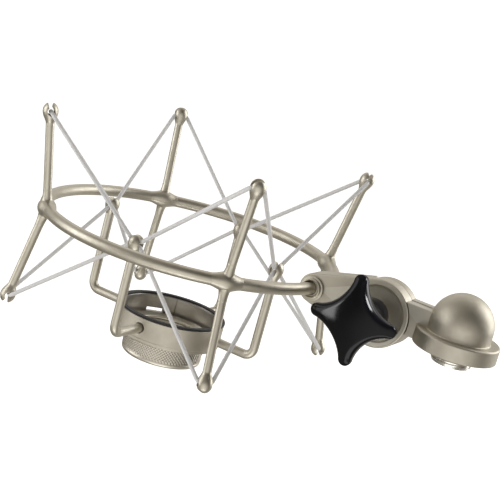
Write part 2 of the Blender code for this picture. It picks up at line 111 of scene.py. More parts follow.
def spot(x, y, z, bearing=0.0, lean=0.0):
    """A place turned to a bearing and then leant outwards from +Z."""
    turn = Matrix.Rotation(math.radians(bearing), 4, "Z")
    return Matrix.Translation((x, y, z)) @ turn @ Matrix.Rotation(math.radians(lean), 4, "Y")


def facing_front(x, z=0.0):
    """A place on the X-Z plane whose +Z points to -Y."""
    return spot(x, 0, z) @ Matrix.Rotation(math.radians(90), 4, "X")


def around(radius, height, bearing):
    angle = math.radians(bearing)
    return Vector((radius * math.cos(angle), radius * math.sin(angle), height))


def sideways(bearing):
    angle = math.radians(bearing)
    return Vector((-math.sin(angle), math.cos(angle), 0))


def arc(x, y, radius, start, end, count):
    """Points on an arc, angles in degrees, both ends included."""
    for i in range(count):
        angle = math.radians(start + (end - start) * i / (count - 1))
        yield x + radius * math.cos(angle), y + radius * math.sin(angle)


def rounded(profile, size=0.4, closed=False, count=4):
    """The profile with its corners rounded; a third number in a point is that corner's own size."""
    spots = [Vector(p[:2]) for p in profile]
    sizes = [p[2] if len(p) > 2 else size for p in profile]
    made = []
    for i, here in enumerate(spots):
        if not closed and i in (0, len(spots) - 1):
            made.append(here)
            continue
        before, after = spots[i - 1], spots[(i + 1) % len(spots)]
        start = here + (before - here).normalized() * min(sizes[i], (before - here).length * 0.48)
        end = here + (after - here).normalized() * min(sizes[i], (after - here).length * 0.48)
        for k in range(count + 1):
            t = k / count
            made.append(start * (1 - t) ** 2 + here * 2 * t * (1 - t) + end * t**2)
    return [(p.x, p.y) for p in made]


# ---------------------------------------------------------------- shapes, as (points, faces)


def moved(shape, place):
    points, faces = shape
    return [place @ Vector(p) for p in points], faces


def turned(profile, place=Matrix(), steps=96, closed=False):
    """A turned shape about its own +Z from (radius, height) pairs."""
    points, faces, rows = [], [], []
    for radius, height in profile:
        if radius < 1e-6:
            rows.append([len(points)] * steps)
            points.append((0, 0, height))
            continue
        rows.append(list(range(len(points), len(points) + steps)))
        for i in range(steps):
            angle = 2 * math.pi * i / steps
            points.append((radius * math.cos(angle), radius * math.sin(angle), height))
    pairs = list(zip(rows, rows[1:])) + ([(rows[-1], rows[0])] if closed else [])
    for upper, lower in pairs:
        for i in range(steps):
            k = (i + 1) % steps
            corners = list(dict.fromkeys((upper[i], lower[i], lower[k], upper[k])))
            if len(corners) > 2:
                faces.append(corners)
    return moved((points, faces), place)


def cylinder(radius, low, high, place, steps=48):
    return turned([(0, high), (radius, high), (radius, low), (0, low)], place, steps)


def block(low, high, place=Matrix()):
    points = [(x, y, z) for x in (low[0], high[0]) for y in (low[1], high[1]) for z in (low[2], high[2])]
    faces = [(0, 1, 3, 2), (4, 6, 7, 5), (0, 4, 5, 1), (2, 3, 7, 6), (0, 2, 6, 4), (1, 5, 7, 3)]
    return moved((points, faces), place)


def slab(outline, levels, place):
    """A plate stacked from the loops outline(inset) at each (inset, height) of levels."""
    points, faces = [], []
    for inset, height in levels:
        points += [(x, y, height) for x, y in outline(inset)]
    count = len(points) // len(levels)
    for row in range(len(levels) - 1):
        for i in range(count):
            a, b = row * count + i, row * count + (i + 1) % count
            faces.append((a, b, b + count, a + count))
    faces.append(tuple(reversed(range(count))))
    faces.append(tuple(range(len(points) - count, len(points))))
    return moved((points, faces), place)


def edge_levels(half, size, rise=None, count=5):
    """(inset, height) from the back of a plate to its front, with round edges."""
    rise = size if rise is None else rise
    turns = [math.pi / 2 * k / count for k in range(count + 1)]
    front = [(size * (1 - math.cos(a)), half - rise + rise * math.sin(a)) for a in turns]
    return [(inset, -height) for inset, height in reversed(front)] + front


def frames(points):
    """For each point of a path, its direction and two directions across that don't twist."""
    made = []
    across = None
    for i, here in enumerate(points):
        before, after = points[max(i - 1, 0)], points[min(i + 1, len(points) - 1)]
        along = (after - before).normalized()
        if across is None:
            across = along.orthogonal()
        across = (across - along * across.dot(along)).normalized()
        made.append((here, across, along.cross(across)))
    return made


def rod(points, radius, sides=24):
    """A round rod with flat ends; radius is a number, or a function of the share of its length."""
    made, faces = [], []
    for i, (here, across, over) in enumerate(frames(points)):
        size = radius(i / (len(points) - 1)) if callable(radius) else radius
        for k in range(sides):
            angle = 2 * math.pi * k / sides
            made.append(here + (across * math.cos(angle) + over * math.sin(angle)) * size)
    for i in range(len(points) - 1):
        for k in range(sides):
            a, b = i * sides + k, i * sides + (k + 1) % sides
            faces.append((a, b, b + sides, a + sides))
    faces.append(tuple(reversed(range(sides))))
    faces.append(tuple(range(len(made) - sides, len(made))))
    return made, faces


# ---------------------------------------------------------------- objects


def make(name, shapes):
    """One mesh object, in metres in the part's frame, from shapes in millimetres."""
    points, faces = [], []
    for shape_points, shape_faces in shapes:
        faces += [tuple(len(points) + i for i in face) for face in shape_faces]
        points += [CENTRE + Vector(p) * MM for p in shape_points]
    mesh = bpy.data.meshes.new(name)
    mesh.from_pydata(points, [], faces)
    bm = bmesh.new()
    bm.from_mesh(mesh)
    bmesh.ops.remove_doubles(bm, verts=bm.verts, dist=1e-7)
    bmesh.ops.recalc_face_normals(bm, faces=bm.faces)
    bm.to_mesh(mesh)
    bm.free()
    obj = bpy.data.objects.new(name, mesh)
    scene.collection.objects.link(obj)
    return obj


def settled(obj):
    """Applies the object's modifiers."""
    bpy.context.view_layer.update()
    graph = bpy.context.evaluated_depsgraph_get()
    mesh = bpy.data.meshes.new_from_object(obj.evaluated_get(graph))
    obj.modifiers.clear()
    obj.data = mesh
    return obj


def carve(obj, *shapes):
    """Cuts shapes out of the object."""
    for i, shape in enumerate(shapes):
        tool = make(f"tool_{i}", [shape])
        boolean = obj.modifiers.new("carve", "BOOLEAN")
        boolean.operation = "DIFFERENCE"
        boolean.solver = "EXACT"
        boolean.object = tool
        settled(obj)
        bpy.data.objects.remove(tool)
    return obj


def melt(obj, voxel, passes):
    """Fuses overlapping shapes into one skin and softens it, for cast and moulded pieces."""
    remesh = obj.modifiers.new("fuse", "REMESH")
    remesh.mode = "VOXEL"
    remesh.voxel_size = voxel * MM
    smooth = obj.modifiers.new("soften", "SMOOTH")
    smooth.factor = 0.5
    smooth.iterations = passes
    return settled(obj)


def copied(obj, name, turn):
    """A copy of the object turned about the ring's axis."""
    made = bpy.data.objects.new(name, obj.data.copy())
    scene.collection.objects.link(made)
    about = Matrix.Translation(CENTRE) @ turn @ Matrix.Translation(-CENTRE)
    made.data.transform(about)
    return made


def dress(obj, node, body, finish, sharp=32, weighted=True, surface=None):
    """Shades the piece, gives it its material, and lets it ride in place of its CAD node."""
    obj.data.shade_smooth()
    if sharp:
        obj.data.set_sharp_from_angle(angle=math.radians(sharp))
    if weighted:
        normals = obj.modifiers.new("even_shading", "WEIGHTED_NORMAL")
        normals.keep_sharp = True
    obj.data.materials.clear()
    obj.data.materials.append(LOOKS[surface or finish])
    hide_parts(node)
    if body:
        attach(obj, body)
    return obj


# ---------------------------------------------------------------- materials


def add_node(tree, kind, **settings):
    node = tree.nodes.new(kind)
    for name, value in settings.items():
        if name in node.inputs:
            node.inputs[name].default_value = value
        else:
            setattr(node, name, value)
    return node


def noise(tree, coordinates, scale, detail=3.0, roughness=0.55):
    node = add_node(tree, "ShaderNodeTexNoise", Scale=scale, Detail=detail, Roughness=roughness)
    tree.links.new(coordinates, node.inputs["Vector"])
    return node.outputs[0]


RANGE_SOCKETS = ("From Min", "From Max", "To Min", "To Max")

# Pointiness is about 0.5 on flat metal, more on edges and less in grooves.
EDGE_POINTED, HOLLOW_POINTED = (0.53, 0.6), (0.49, 0.42)


def ranged(tree, value, from_low, from_high, low, high):
    node = tree.nodes.new("ShaderNodeMapRange")
    for name, number in zip(RANGE_SOCKETS, (from_low, from_high, low, high)):
        node.inputs[name].default_value = number
    tree.links.new(value, node.inputs["Value"])
    return node.outputs[0]


def blend_colours(tree, factor, first, second):
    node = tree.nodes.new("ShaderNodeMix")
    node.data_type = "RGBA"
    tree.links.new(factor, node.inputs["Factor"])
    for value, slot in ((first, node.inputs[6]), (second, node.inputs[7])):
        if isinstance(value, tuple):
            slot.default_value = (*value, 1)
        else:
            tree.links.new(value, slot)
    return node.outputs[2]


def look(name, dark, light, rough, grain, bump, metallic=1.0, mottle=90.0,
         edge_highlight=None, hollow=None, **sockets):
    """A finish with cloudy colour, uneven gloss and a fine grain.

    The edge colour is a painted highlight along edges, and the hollow colour a painted shade in grooves."""
    material = bpy.data.materials.new(name)
    material.use_nodes = True
    tree = material.node_tree
    shader = tree.nodes["Principled BSDF"]
    shader.inputs["Metallic"].default_value = metallic
    for socket, value in sockets.items():
        shader.inputs[socket.replace("_", " ")].default_value = value
    place = tree.nodes.new("ShaderNodeTexCoord").outputs["Object"]
    clouds = ranged(tree, noise(tree, place, mottle), 0.3, 0.7, 0.0, 1.0)
    colour = blend_colours(tree, clouds, dark, light)
    # Pointiness paints a highlight along edges and a shade in grooves.
    for tint, start, end, most in ((edge_highlight, *EDGE_POINTED, 0.6), (hollow, *HOLLOW_POINTED, 0.9)):
        if tint:
            pointed = tree.nodes.new("ShaderNodeNewGeometry").outputs["Pointiness"]
            colour = blend_colours(tree, ranged(tree, pointed, start, end, 0, most), colour, tint)
    tree.links.new(colour, shader.inputs["Base Color"])
    uneven = noise(tree, place, mottle * 6, 5.0)
    tree.links.new(ranged(tree, uneven, 0.25, 0.75, *rough), shader.inputs["Roughness"])
    relief = add_node(tree, "ShaderNodeBump", Strength=bump, Distance=0.00004)
    tree.links.new(noise(tree, place, grain, 2.0, 0.7), relief.inputs["Height"])
    tree.links.new(relief.outputs[0], shader.inputs["Normal"])
    return material


def braid_look(name):
    """White braided cover: two sets of threads cross round the cord, with painted shade in the hollows
    between.
    """
    material = bpy.data.materials.new(name)
    material.use_nodes = True
    tree = material.node_tree
    shader = tree.nodes["Principled BSDF"]
    shader.inputs["Metallic"].default_value = 0.0
    shader.inputs["Sheen Weight"].default_value = 0.3
    shader.inputs["Sheen Roughness"].default_value = 0.5
    run = tree.nodes.new("ShaderNodeUVMap")
    run.uv_map = "run"
    parts = tree.nodes.new("ShaderNodeSeparateXYZ")
    tree.links.new(run.outputs[0], parts.inputs[0])
    ribs = []
    for way in (1, -1):
        turn = add_node(tree, "ShaderNodeMath", operation="MULTIPLY")
        tree.links.new(parts.outputs[0], turn.inputs[0])
        turn.inputs[1].default_value = way * BRAID_THREADS * 2 * math.pi
        phase = add_node(tree, "ShaderNodeMath", operation="MULTIPLY_ADD")
        tree.links.new(parts.outputs[1], phase.inputs[0])
        phase.inputs[1].default_value = 2 * math.pi / BRAID_PITCH
        tree.links.new(turn.outputs[0], phase.inputs[2])
        wave = add_node(tree, "ShaderNodeMath", operation="SINE")
        tree.links.new(phase.outputs[0], wave.inputs[0])
        ribs.append(wave.outputs[0])
    woven = add_node(tree, "ShaderNodeMath", operation="MAXIMUM")
    tree.links.new(ribs[0], woven.inputs[0])
    tree.links.new(ribs[1], woven.inputs[1])
    height = ranged(tree, woven.outputs[0], -1.0, 1.0, 0.0, 1.0)
    # The grey in the hollows between the threads is painted shade.
    tree.links.new(
        blend_colours(tree, height, (0.60, 0.60, 0.63), (0.98, 0.98, 0.99)), shader.inputs["Base Color"]
    )
    place = tree.nodes.new("ShaderNodeTexCoord").outputs["Object"]
    fuzz = noise(tree, place, 9000.0, 2.0)
    tree.links.new(ranged(tree, fuzz, 0.3, 0.7, 0.7, 0.9), shader.inputs["Roughness"])
    relief = add_node(tree, "ShaderNodeBump", Strength=0.6, Distance=0.00006)
    tree.links.new(height, relief.inputs["Height"])
    tree.links.new(relief.outputs[0], shader.inputs["Normal"])
    return material


# Each edge colour below is a painted highlight along the edges.
LOOKS = {
    "satin_nickel": look(
        "satin_nickel", (0.56, 0.525, 0.44), (0.64, 0.605, 0.52), (0.38, 0.48), 5200, 0.12,
        edge_highlight=(0.78, 0.75, 0.68),
    ),
    "nickel_casting": look(
        "nickel_casting", (0.52, 0.485, 0.41), (0.60, 0.565, 0.485), (0.45, 0.55), 4200, 0.24,
        edge_highlight=(0.76, 0.73, 0.66),
    ),
    "knurled_nickel": look(
        "knurled_nickel", (0.66, 0.62, 0.54), (0.72, 0.685, 0.60), (0.36, 0.46), 5200, 0.08,
        # The hollow colour is a painted shade in the knurl's grooves.
        edge_highlight=(0.80, 0.77, 0.70), hollow=(0.16, 0.125, 0.085),
    ),
    "bright_steel": look(
        "bright_steel", (0.60, 0.58, 0.54), (0.70, 0.68, 0.64), (0.20, 0.32), 3000, 0.08,
        edge_highlight=(0.80, 0.78, 0.74),
    ),
    "black_plastic": look(
        "black_plastic", (0.002, 0.002, 0.003), (0.004, 0.004, 0.006), (0.10, 0.15), 600, 0.015,
        metallic=0.0, mottle=120.0, Specular_IOR_Level=0.2,
    ),
    "black_rubber": look(
        "black_rubber", (0.010, 0.010, 0.012), (0.022, 0.021, 0.024), (0.45, 0.62), 3500, 0.25,
        metallic=0.0,
    ),
    "grey_lining": look(
        "grey_lining", (0.56, 0.54, 0.51), (0.63, 0.61, 0.58), (0.28, 0.36), 3000, 0.06,
        metallic=0.9, mottle=140.0,
    ),
    "white_braid": braid_look("white_braid"),
}


# ---------------------------------------------------------------- camera

VIEW_AZIMUTH, VIEW_HEIGHT, VIEW_ROLL = -63.56, 12.87, 15.36
VIEW_DISTANCE, VIEW_RIGHT, VIEW_UP = 555.3, 25.23, 0.81
LENS = 95.15


def view_axes(azimuth, height, roll=0.0):
    """Right, up and backward directions of a camera at that azimuth and height, rolled clockwise."""
    a, h, r = (math.radians(v) for v in (azimuth, height, roll))
    back = Vector((math.cos(a) * math.cos(h), math.sin(a) * math.cos(h), math.sin(h)))
    right = Vector((-math.sin(a), math.cos(a), 0))
    up = back.cross(right)
    return math.cos(r) * right + math.sin(r) * up, math.cos(r) * up - math.sin(r) * right, back


level_right, level_up, back = view_axes(VIEW_AZIMUTH, VIEW_HEIGHT)
right, up, back = view_axes(VIEW_AZIMUTH, VIEW_HEIGHT, VIEW_ROLL)
eye = CENTRE + (back * VIEW_DISTANCE + level_right * VIEW_RIGHT + level_up * VIEW_UP) * MM
camera = bpy.data.objects.new("camera", bpy.data.cameras.new("camera"))
scene.collection.objects.link(camera)
camera.matrix_world = Matrix.Translation(eye) @ Matrix((right, up, back)).transposed().to_4x4()
camera.data.sensor_width = 36
camera.data.lens = LENS
camera.data.clip_start = 0.01
camera.data.clip_end = 50
scene.camera = camera


# ---------------------------------------------------------------- cords


def bend(seat, side, pull, count=10):
    """The cord from the middle of a fork out along side, then bent round to the direction pull."""
    turn = side.angle(pull)
    inward = (pull - side * pull.dot(side)).normalized()
    points = []
    for i in range(count + 1):
        part = turn * i / count
        out = side * math.sin(part) + inward * (1 - math.cos(part))
        points.append(seat + side * CORD_STRAIGHT + out * CORD_BEND)
    return points


def strand(outer_bearing, inner_bearing, level):
    """The cord's seats and bends at an outer and an inner fork, joined by one straight run."""
    outer_seat = around(OUTER_SEAT[0] - 0.4, level * (OUTER_SEAT[1] - 0.4), outer_bearing)
    inner_seat = around(INNER_SEAT, level * CORD_PAIR, inner_bearing)
    step = (inner_bearing - outer_bearing + 180) % 360 - 180
    outer_side = sideways(outer_bearing) * math.copysign(1, step)
    inner_side = sideways(inner_bearing) * -math.copysign(1, step)
    outer_end, inner_end = outer_seat, inner_seat
    for _ in range(8):
        pull = (inner_end - outer_end).normalized()
        outer_bend = bend(outer_seat, outer_side, pull)
        inner_bend = bend(inner_seat, inner_side, -pull)
        outer_end, inner_end = outer_bend[-1], inner_bend[-1]
    return [outer_seat] + outer_bend, [inner_seat] + inner_bend


def spaced(points, step):
    """Points at even steps along a path."""
    lengths = [0.0]
    for a, b in zip(points, points[1:]):
        lengths.append(lengths[-1] + (b - a).length)
    count = max(2, round(lengths[-1] / step))
    made, k = [], 0
    for i in range(count + 1):
        want = lengths[-1] * i / count
        while k < len(points) - 2 and lengths[k + 1] < want:
            k += 1
        share = (want - lengths[k]) / (lengths[k + 1] - lengths[k])
        made.append(points[k].lerp(points[k + 1], share))
    return made, lengths[-1] / count


def braided(name, points, sides=18):
    """A cord with shallow crossing ribs, and a map of where each face lies round and along it."""
    path, step = spaced(points, CORD_STEP)
    made, faces = [], []
    for i, (here, across, over) in enumerate(frames(path)):
        for k in range(sides):
            angle = 2 * math.pi * k / sides
            twist = 2 * math.pi * i * step / BRAID_TURN
            size = CORD + BRAID_RIB * (math.cos(3 * angle - twist) - math.cos(3 * angle + twist)) / 2
            made.append(here + (across * math.cos(angle) + over * math.sin(angle)) * size)
    for i in range(len(path) - 1):
        for k in range(sides):
            a, b = i * sides + k, i * sides + (k + 1) % sides
            faces.append((a, b, b + sides, a + sides))
    mesh = bpy.data.meshes.new(name)
    mesh.from_pydata([CENTRE + p * MM for p in made], [], faces)
    layer = mesh.uv_layers.new(name="run").uv
    for face in mesh.polygons:
        i, k = divmod(face.index, sides)
        spots = ((k, i), (k + 1, i), (k + 1, i + 1), (k, i + 1))
        for loop, (round_share, along) in zip(face.loop_indices, spots):
            layer[loop].vector = (round_share / sides, along * step)
    obj = bpy.data.objects.new(name, mesh)
    scene.collection.objects.link(obj)
    return obj


for level_name, level in (("upper", 1), ("lower", -1)):
    for post, bearing in POSTS.items():
        for arm, arm_bearing in ARMS.items():
            step = (arm_bearing - bearing + 180) % 360 - 180
            if abs(step) != 45:
                continue
            outer, inner = strand(bearing, bearing + step, level)
            cord = braided(f"cord_{level_name}_{post}_to_{arm}", outer + inner[::-1])
            dress(cord, f"cord_{level_name}", None, "white_braid", sharp=None, weighted=False)
            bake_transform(cord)


# ---------------------------------------------------------------- forks and posts

LEAN = math.degrees(math.atan2(OUTER_SEAT[0] - RING, OUTER_SEAT[1]))
REACH = math.hypot(OUTER_SEAT[0] - RING, OUTER_SEAT[1])


def post_place(bearing, level, distance):
    """A place on a post, at a distance from the ring's centre line, with +Z along the leg."""
    lean = LEAN if level > 0 else 180 - LEAN
    place = spot(*around(RING, 0, bearing), bearing, lean) @ Matrix.Translation((0, 0, distance))
    return place if level > 0 else place @ Matrix.Rotation(math.pi, 4, "Z")


FORK_PROFILE = [
    (
        FORK_BULB * math.sin(math.radians(a)),
        FORK_SEAT + (FORK_TOP - FORK_SEAT) * math.cos(math.radians(a)),
    )
    for a in range(0, 91, 6)
] + [
    (
        FORK_NECK + (FORK_BULB - FORK_NECK) * math.sin(math.pi / 2 * (1 - k / 14)) ** 1.35,
        FORK_SEAT * (1 - k / 14),
    )
    for k in range(1, 15)
] + [(FORK_NECK, FORK_FOOT), (0, FORK_FOOT)]


def fork(place, keyhole, runs):
    """An acorn tip with a keyhole, a slot open at the end, and room for the cords."""
    obj = make("fork", [turned(FORK_PROFILE, place, 64)])
    across = place @ Matrix.Translation((0, 0, FORK_SEAT)) @ Matrix.Rotation(math.radians(90), 4, "X")
    narrow, wide, end = FORK_SLOT / 2, FORK_FLARE / 2, FORK_TOP - FORK_SEAT
    mouth = [
        (-narrow, -0.37), (narrow, -0.37), (narrow, 1),
        (wide, end + 0.5), (-wide, end + 0.5), (-narrow, 1),
    ]
    carve(obj, cylinder(keyhole, -5, 5, across, 40), slab(lambda _: mouth, [(0, -4.7), (0, 4.7)], across))
    for run in runs:
        carve(obj, rod(run, CORD + CORD_ROOM, 20))
    return melt(obj, FORK_VOXEL, 4)


def through(first, second):
    """The cord's run through a fork, with a short straight length past each bend."""
    ends = [path[-1] + (path[-1] - path[-2]).normalized() * 4 for path in (first, second)]
    return [ends[0]] + first[::-1] + second[1:] + [ends[1]]


def turn_about(place, other):
    """The turn about the ring's centre that brings one place to the other."""
    turn = other @ place.inverted()
    turn.translation *= MM
    return turn


seat_distance = REACH - FORK_SEAT
first_place = post_place(45, 1, seat_distance)
pattern = fork(first_place, KEYHOLE, [through(strand(45, 0, 1)[0], strand(45, 90, 1)[0])])
for post, bearing in POSTS.items():
    for level_name, level in (("upper", 1), ("lower", -1)):
        place = post_place(bearing, level, seat_distance)
        name = f"fork_{level_name}_{post}"
        tip = copied(pattern, f"{name}_tip", turn_about(first_place, place))
        dress(tip, name, "bracket", "satin_nickel", sharp=None, weighted=False)
        low = post_place(bearing, level, 3.0).to_translation()
        high = post_place(bearing, level, seat_distance + 0.8).to_translation()
        leg_path = spaced([low, high], 1.5)[0]
        leg = make(f"leg_{level_name}_{post}_rod", [rod(leg_path, LEG)])
        dress(leg, f"leg_{level_name}_{post}", "bracket", "satin_nickel")
bpy.data.objects.remove(pattern)

first_place = spot(*around(INNER_SEAT, -FORK_SEAT, 0), 0)
runs = [through(strand(-45, 0, level)[1], strand(45, 0, level)[1]) for level in (1, -1)]
pattern = fork(first_place, INNER_KEYHOLE, runs)
for arm, bearing in ARMS.items():
    place = spot(*around(INNER_SEAT, -FORK_SEAT, bearing), bearing)
    tip = copied(pattern, f"fork_inner_{arm}_tip", turn_about(first_place, place))
    dress(tip, f"fork_inner_{arm}", "cradle", "satin_nickel", sharp=None, weighted=False)
bpy.data.objects.remove(pattern)


# ---------------------------------------------------------------- ring and hubs


def ring_room(radius, sides=32, steps=200):
    return turned(list(arc(RING, 0, radius, 0, 360, sides + 1))[:-1], steps=steps, closed=True)


dress(make("outer_ring_rod", [ring_room(ROD, 28, 256)]), "outer_ring", "bracket", "satin_nickel")

sleeve_path = [around(RING, 0, 45 + math.degrees(k * 0.62 / RING)) for k in range(-10, 11)]


def sleeve_radius(share):
    off = abs(share - 0.5) * 2
    return ROD + 0.05 + HUB_SWELL * math.cos(off * math.pi / 2) ** 1.7


sockets = [
    rod(
        spaced([post_place(45, level, d).to_translation() for d in (0, 8.0)], 0.5)[0],
        lambda share: LEG + 0.08 + 2.0 * (1 - share) ** 2.6,
    )
    for level in (1, -1)
]
pattern = make("hub", [rod(sleeve_path, sleeve_radius, 32)] + sockets)
melt(pattern, HUB_VOXEL, 14)
for post, bearing in POSTS.items():
    hub = copied(pattern, f"hub_{post}_cross", Matrix.Rotation(math.radians(bearing - 45), 4, "Z"))
    dress(hub, f"hub_{post}", "bracket", "satin_nickel", sharp=None, weighted=False)
bpy.data.objects.remove(pattern)


# ---------------------------------------------------------------- cradle

corner = INNER_SEAT - ARM_CORNER
for arm, bearing in ARMS.items():
    route = [(CUP_IN + 0.2, ARM_LEVEL), (corner, ARM_LEVEL)]
    route += list(arc(corner, ARM_LEVEL + ARM_CORNER, ARM_CORNER, -90, 0, 17))[1:]
    route += [(INNER_SEAT, -15), (INNER_SEAT, -FORK_SEAT + 0.8)]
    path = [around(r, h, bearing) for r, h in route]
    dress(make(f"arm_{arm}_rod", [rod(path, ARM)]), f"arm_{arm}", "cradle", "satin_nickel")

window = block((15, -4, FLOOR + 0.7), (30, 4, FLOOR + 2.6), spot(0, 0, 0, WINDOW))
arm_holes = [
    cylinder(ARM + 0.5, 10, 30, spot(0, 0, ARM_LEVEL, bearing, 90), 40) for bearing in ARMS.values()
]
cup = make(
    "basket_cup_turned",
    [
        turned(
            rounded(
                [
                    (CUP, CUP_TOP, 0.2), (CUP, -42.6, 0.05), (CUP - 0.2, -42.9, 0.05),
                    (CUP - 0.2, CUP_BOTTOM, 0.6),
                    (FLOOR_HOLE, CUP_BOTTOM, 0.15), (FLOOR_HOLE, FLOOR, 0.2), (CUP_IN, FLOOR, 0.6),
                    (CUP_IN, CUP_TOP, 0.2),
                ],
                closed=True,
            ),
            steps=144, closed=True,
        )
    ],
)
dress(carve(cup, window, *arm_holes), "basket_cup", "cradle", "nickel_casting")

liner = make(
    "basket_liner_strip",
    [
        turned(
            rounded(
                [
                    (CUP_IN - GAP, CUP_TOP), (CUP_IN - GAP, FLOOR + GAP),
                    (LINER_IN, FLOOR + GAP), (LINER_IN, CUP_TOP),
                ],
                0.3, closed=True,
            ),
            steps=144, closed=True,
        )
    ],
)
split = block((15, -0.3, FLOOR - 1), (CUP_IN, 0.3, CUP_TOP + 1), spot(0, 0, 0, SPLIT))
dress(carve(liner, window, split), "basket_liner", "cradle", "grey_lining")

rim = turned(
    rounded(
        [
            (CUP + 0.15, CUP_TOP + 1.0, 0.4), (CUP + 0.15, CUP_TOP + 0.28, 0.2),
            (LINER_IN - 0.1, CUP_TOP + 0.28, 0.2), (LINER_IN - 0.1, CUP_TOP + 1.0, 0.4),
        ],
        closed=True,
    ),
    steps=144, closed=True,
)
dress(make("basket_rim_band", [rim]), "basket_rim", "cradle", "black_rubber")


def knurled():
    """The ring nut: a turned body whose side carries crossing grooves."""
    per = 4
    pitch = 2 * math.pi * NUT / KNURLS
    face = CUP_BOTTOM - GAP
    rows = int((face - 0.7 - (NUT_BOTTOM + 1.5)) / (pitch / per))
    rows -= rows % per
    band_top = face - 0.6
    profile = [(NUT_NECK, FLOOR, 0), (NUT_NECK, face, 0)]
    profile += [(x, y, 0) for x, y in arc(NUT - 0.45, face - 0.3, 0.3, 90, 0, 5)]
    profile += [(NUT - 0.15, band_top + 0.05, 0)]
    for j in range(rows + 1):
        profile.append((NUT, band_top - j * pitch / per, j + 1))
    low = band_top - rows * pitch / per
    profile += [(NUT - 0.12, low - 0.15, 0)]
    profile += [(x, y, 0) for x, y in arc(NUT - 1.45, NUT_BOTTOM + 1.3, 1.3, 0, -90, 8)]
    profile += [(NUT_BORE + 0.5, NUT_BOTTOM, 0), (NUT_BORE, NUT_BOTTOM + 0.5, 0)]
    profile += [(NUT_BORE, FLOOR - 0.3, 0), (NUT_BORE + 0.3, FLOOR, 0)]
    steps = KNURLS * per
    points, faces = turned([(r, h) for r, h, _ in profile], steps=steps, closed=True)
    for row, (_, _, mark) in enumerate(profile):
        if not mark:
            continue
        for i in range(steps):
            u, v = i / per, (mark - 1) / per
            groove = max(abs(2 * ((u + v) % 1) - 1), abs(2 * ((u - v) % 1) - 1))
            fade = min(1, (mark - 1) / 2, (rows + 1 - mark) / 2)
            index = row * steps + i
            point = Vector(points[index])
            scale = 1 - KNURL_DEPTH * (groove**1.5 * fade + (1 - fade) * 0.4) / NUT
            points[index] = Vector((point.x * scale, point.y * scale, point.z))
    return points, faces


dress(
    make("ring_nut_knurled", [knurled()]), "ring_nut", "ring_nut", "satin_nickel",
    sharp=60, weighted=False, surface="knurled_nickel",
)
retainer = turned(
    rounded(
        [
            (RETAINER, FLOOR + 1.4), (RETAINER, FLOOR + GAP),
            (NUT_BORE, FLOOR + GAP), (NUT_BORE, FLOOR + 1.4, 0.5),
        ],
        0.25, closed=True,
    ),
    steps=144, closed=True,
)
dress(make("nut_retainer_turned", [retainer]), "nut_retainer", "ring_nut", "satin_nickel")


# ---------------------------------------------------------------- bracket

swivel = facing_front(SWIVEL)
ring_side = facing_front(RING)


def link_outline(inset):
    """The outer tangent outline of the boss and the disc, with the boss at the origin."""
    spacing = SWIVEL - RING
    flare = math.degrees(math.asin((DISC - BOSS) / spacing))
    outline = list(arc(0, 0, BOSS - inset, 90 + flare, 270 - flare, 33))
    return outline + list(arc(spacing, 0, DISC - inset, -90 - flare, 90 + flare, 65))


bracket = make("swivel_bracket_cast", [slab(link_outline, edge_levels(PLATE, 0.6), ring_side)])
lap_room = cylinder(DISC + 0.4, -PLATE - 2, -LAP, swivel, 128)
dish_profile = [(0, PLATE + 1), (DISH + 0.8, PLATE + 1), (DISH + 0.8, PLATE + 0.01)]
dish_profile += list(arc(DISH + 0.8, PLATE - 0.5, 0.5, 88, 180, 7))
for degrees in range(10, 90, 10):
    a = math.radians(degrees)
    dish_profile.append(((DISH + 0.3) * math.cos(a), PLATE - 0.5 - (DISH_DEPTH - 0.5) * math.sin(a)))
dish_profile += [(0, PLATE - DISH_DEPTH)]
dish = turned(dish_profile, swivel, 128)
carve(bracket, lap_room, dish, cylinder(BOLT + GAP, -20, 20, swivel), ring_room(ROD + GAP))
dress(bracket, "swivel_bracket", "bracket", "nickel_casting", sharp=30)

for side, sign in (("front", 1), ("rear", -1)):
    place = ring_side if sign > 0 else ring_side @ Matrix.Rotation(math.pi, 4, "X")
    face = PLATE + GAP
    collet = make(
        f"ring_collet_{side}_turned",
        [
            turned(
                rounded(
                    [
                        (0, face + 0.8, 0), (COLLET_MOUTH, face + 0.8, 0.1),
                        (COLLET_LIP, face + 1.9, 0.25), (COLLET_STEP - 0.05, face + 1.9, 0.35),
                        (COLLET_STEP, face + 0.75, 0.2), (COLLET, face + 0.7, 0.3),
                        (COLLET, face, 0.1), (0, face, 0),
                    ],
                ),
                place, 72,
            )
        ],
    )
    dress(carve(collet, ring_room(ROD + 0.25)), f"ring_collet_{side}", "bracket", "satin_nickel")

washer = [
    (WASHER, -LAP - GAP), (WASHER, -LAP - 1.2), (BOLT + GAP, -LAP - 1.2), (BOLT + GAP, -LAP - GAP),
]
dress(
    make("friction_washer_turned", [turned(rounded(washer, 0.15, True), swivel, 72, True)]),
    "friction_washer", "stand_head", "bright_steel",
)
spacer = [
    (SPACER, HUB_BACK - GAP), (SPACER, PLATE - 1.5),
    (BOLT + GAP, PLATE - 1.5), (BOLT + GAP, HUB_BACK - GAP),
]
dress(
    make("knob_spacer_turned", [turned(rounded(spacer, 0.2, True), swivel, 72, True)]),
    "knob_spacer", "stand_head", "satin_nickel",
)
bolt = make(
    "clamp_bolt_turned",
    [
        turned(
            rounded(
                [
                    (0, STAR_BACK - 2.5), (BOLT - 0.1, STAR_BACK - 2.5),
                    (BOLT, -PLATE - GAP, 0.1), (BOLT_HEAD, -PLATE - GAP, 0.2),
                    (BOLT_HEAD, -PLATE - 1.7, 0.4), (4.6, -PLATE - 3.4, 1.4), (0, -PLATE - 4.2),
                ],
                0.3,
            ),
            swivel, 72,
        )
    ],
)
carve(bolt, block((-8, -0.8, -PLATE - 6), (8, 0.8, -PLATE - 2.6), swivel))
dress(bolt, "clamp_bolt", "stand_head", "bright_steel")


# ---------------------------------------------------------------- knob


